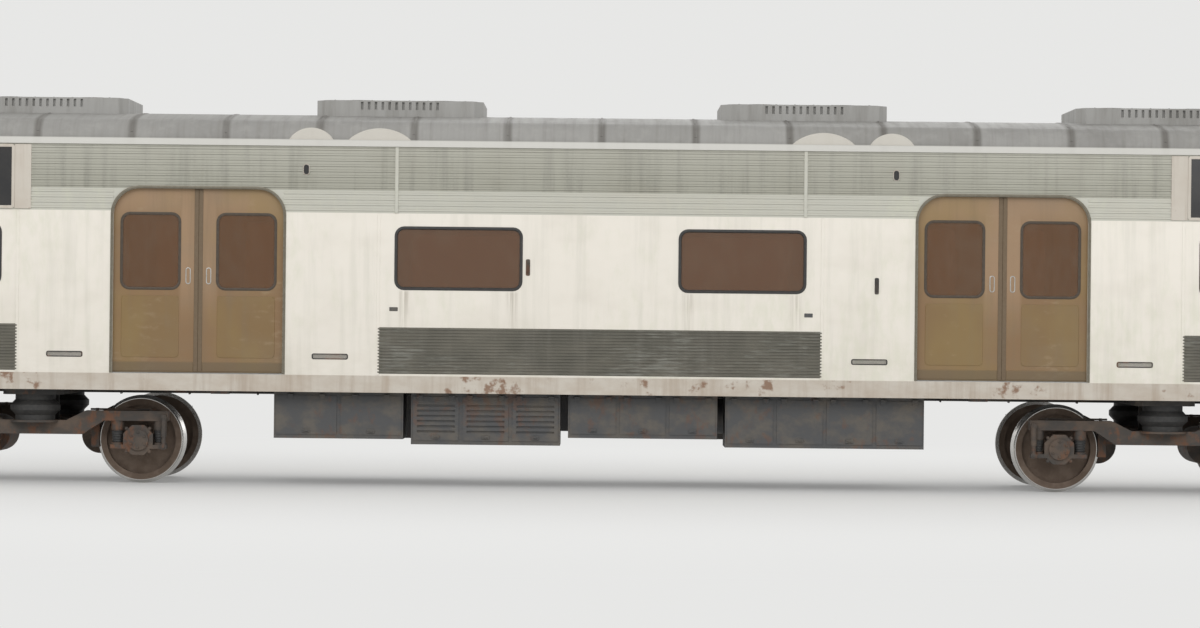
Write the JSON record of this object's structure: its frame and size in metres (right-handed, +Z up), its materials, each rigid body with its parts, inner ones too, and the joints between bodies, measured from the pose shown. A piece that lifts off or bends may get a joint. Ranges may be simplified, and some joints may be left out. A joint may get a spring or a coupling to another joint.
{
  "type": "metro car",
  "caption": "Full-size intermediate metro car with sliding door pairs, hinged end doors, fluted and ribbed side panels, benches inside and two swivelling motor bogies on rail wheelsets",
  "frame": {"origin": "under the middle of the car at the level of the wheel flanges", "axes": "X runs along the car, Y across it and Z up; the side with the near doors faces -Y"},
  "size_m": [17.46, 2.844, 3.946],
  "materials": {
    "side_paint": "satin pale silver-white paint on sheet metal",
    "sill_paint": "satin pale grey paint, dusty",
    "ribbed_steel": "ribbed stainless steel, greenish grey",
    "band_paint": "satin dark grey-green paint on fluted sheet",
    "door_paint": "satin ochre-tan paint",
    "roof_paint": "matt grey paint, weathered",
    "frame_paint": "matt black paint with road dirt",
    "box_paint": "matt dark grey paint with dirt",
    "bogie_paint": "matt dark paint with brake dust",
    "wheel_steel": "forged steel, polished on the tread",
    "spring_rubber": "matt black rubber",
    "coupler_steel": "bare cast steel, rusted",
    "tread_metal": "ribbed aluminium tread",
    "rail_steel": "brushed stainless tube",
    "floor_covering": "studded rubber floor, grey",
    "lining_laminate": "matt cream laminate",
    "seat_vinyl": "red-brown vinyl",
    "tinted_glass": "dark brown tinted safety glass",
    "display_glass": "blank dark glass panel",
    "lamp_lens": "red lens"
  },
  "bodies": {
    "carbody": {"side_sills": "sill_paint", "underframe": "frame_paint", "cross_bearers": "frame_paint", "body_bolsters": "frame_paint", "floor": "floor_covering", "thresholds": "tread_metal", "door_tracks": "frame_paint", "side_panels": "side_paint", "fluted_bands": "band_paint", "pocket_panels": "side_paint", "pocket_linings": "lining_laminate", "letterboards": "ribbed_steel", "side_displays": "display_glass", "windows": "tinted_glass", "roof": "roof_paint", "roof_units": "roof_paint", "ceiling": "lining_laminate", "end_walls": "side_paint", "gangway_frames": "frame_paint", "seats": "seat_vinyl", "draught_screens": "lining_laminate", "grab_rails": "rail_steel", "marker_lamps": "lamp_lens", "couplers": "coupler_steel", "equipment_boxes": "box_paint", "air_reservoirs": "box_paint"},
    "bogie_a": {"bogie_frame_a": "bogie_paint", "air_springs_a": "spring_rubber", "axle_boxes_a": "bogie_paint", "motors_a": "bogie_paint"},
    "wheels_a1": {"wheelset_a1": "wheel_steel"},
    "wheels_a2": {"wheelset_a2": "wheel_steel"},
    "end_door_leaf_a": {"end_door_a": "door_paint", "end_door_glass_a": "tinted_glass"},
    "bogie_b": {"bogie_frame_b": "bogie_paint", "air_springs_b": "spring_rubber", "axle_boxes_b": "bogie_paint", "motors_b": "bogie_paint"},
    "wheels_b1": {"wheelset_b1": "wheel_steel"},
    "wheels_b2": {"wheelset_b2": "wheel_steel"},
    "end_door_leaf_b": {"end_door_b": "door_paint", "end_door_glass_b": "tinted_glass"},
    "sliding_leaf_near_a_left": {"door_leaf_near_a_left": "door_paint", "door_glass_near_a_left": "tinted_glass"},
    "sliding_leaf_near_a_right": {"door_leaf_near_a_right": "door_paint", "door_glass_near_a_right": "tinted_glass"},
    "sliding_leaf_near_b_left": {"door_leaf_near_b_left": "door_paint", "door_glass_near_b_left": "tinted_glass"},
    "sliding_leaf_near_b_right": {"door_leaf_near_b_right": "door_paint", "door_glass_near_b_right": "tinted_glass"},
    "sliding_leaf_far_a_left": {"door_leaf_far_a_left": "door_paint", "door_glass_far_a_left": "tinted_glass"},
    "sliding_leaf_far_a_right": {"door_leaf_far_a_right": "door_paint", "door_glass_far_a_right": "tinted_glass"},
    "sliding_leaf_far_b_left": {"door_leaf_far_b_left": "door_paint", "door_glass_far_b_left": "tinted_glass"},
    "sliding_leaf_far_b_right": {"door_leaf_far_b_right": "door_paint", "door_glass_far_b_right": "tinted_glass"}
  },
  "joints": [
    {"name": "bogie_a_swivel", "type": "hinge", "parent": "carbody", "child": "bogie_a", "pos_m": [-5.7, 0, 0.56], "axis": [0, 0, 1], "range_deg": [-5, 5]},
    {"name": "axle_a1_spin", "type": "hinge", "parent": "bogie_a", "child": "wheels_a1", "pos_m": [-6.75, 0, 0.448], "axis": [0, 1, 0], "continuous": true},
    {"name": "axle_a2_spin", "type": "hinge", "parent": "bogie_a", "child": "wheels_a2", "pos_m": [-4.65, 0, 0.448], "axis": [0, 1, 0], "continuous": true},
    {"name": "end_door_a_hinge", "type": "hinge", "parent": "carbody", "child": "end_door_leaf_a", "pos_m": [-8.115, -0.35, 2], "axis": [0, 0, -1], "range_deg": [0, 90]},
    {"name": "bogie_b_swivel", "type": "hinge", "parent": "carbody", "child": "bogie_b", "pos_m": [5.7, 0, 0.56], "axis": [0, 0, 1], "range_deg": [-5, 5]},
    {"name": "axle_b1_spin", "type": "hinge", "parent": "bogie_b", "child": "wheels_b1", "pos_m": [4.65, 0, 0.448], "axis": [0, 1, 0], "continuous": true},
    {"name": "axle_b2_spin", "type": "hinge", "parent": "bogie_b", "child": "wheels_b2", "pos_m": [6.75, 0, 0.448], "axis": [0, 1, 0], "continuous": true},
    {"name": "end_door_b_hinge", "type": "hinge", "parent": "carbody", "child": "end_door_leaf_b", "pos_m": [8.115, 0.35, 2], "axis": [0, 0, -1], "range_deg": [0, 90]},
    {"name": "door_near_a_left_slide", "type": "slide", "parent": "carbody", "child": "sliding_leaf_near_a_left", "axis": [-1, 0, 0], "range_m": [0, 0.8]},
    {"name": "door_near_a_right_slide", "type": "slide", "parent": "carbody", "child": "sliding_leaf_near_a_right", "axis": [1, 0, 0], "range_m": [0, 0.8]},
    {"name": "door_near_b_left_slide", "type": "slide", "parent": "carbody", "child": "sliding_leaf_near_b_left", "axis": [-1, 0, 0], "range_m": [0, 0.8]},
    {"name": "door_near_b_right_slide", "type": "slide", "parent": "carbody", "child": "sliding_leaf_near_b_right", "axis": [1, 0, 0], "range_m": [0, 0.8]},
    {"name": "door_far_a_left_slide", "type": "slide", "parent": "carbody", "child": "sliding_leaf_far_a_left", "axis": [-1, 0, 0], "range_m": [0, 0.8]},
    {"name": "door_far_a_right_slide", "type": "slide", "parent": "carbody", "child": "sliding_leaf_far_a_right", "axis": [1, 0, 0], "range_m": [0, 0.8]},
    {"name": "door_far_b_left_slide", "type": "slide", "parent": "carbody", "child": "sliding_leaf_far_b_left", "axis": [-1, 0, 0], "range_m": [0, 0.8]},
    {"name": "door_far_b_right_slide", "type": "slide", "parent": "carbody", "child": "sliding_leaf_far_b_right", "axis": [1, 0, 0], "range_m": [0, 0.8]}
  ],
  "couplings": [
    {"joint": "door_near_a_right_slide", "follows": "door_near_a_left_slide", "ratio": 1},
    {"joint": "door_near_b_right_slide", "follows": "door_near_b_left_slide", "ratio": 1},
    {"joint": "door_far_a_right_slide", "follows": "door_far_a_left_slide", "ratio": 1},
    {"joint": "door_far_b_right_slide", "follows": "door_far_b_left_slide", "ratio": 1}
  ]
}
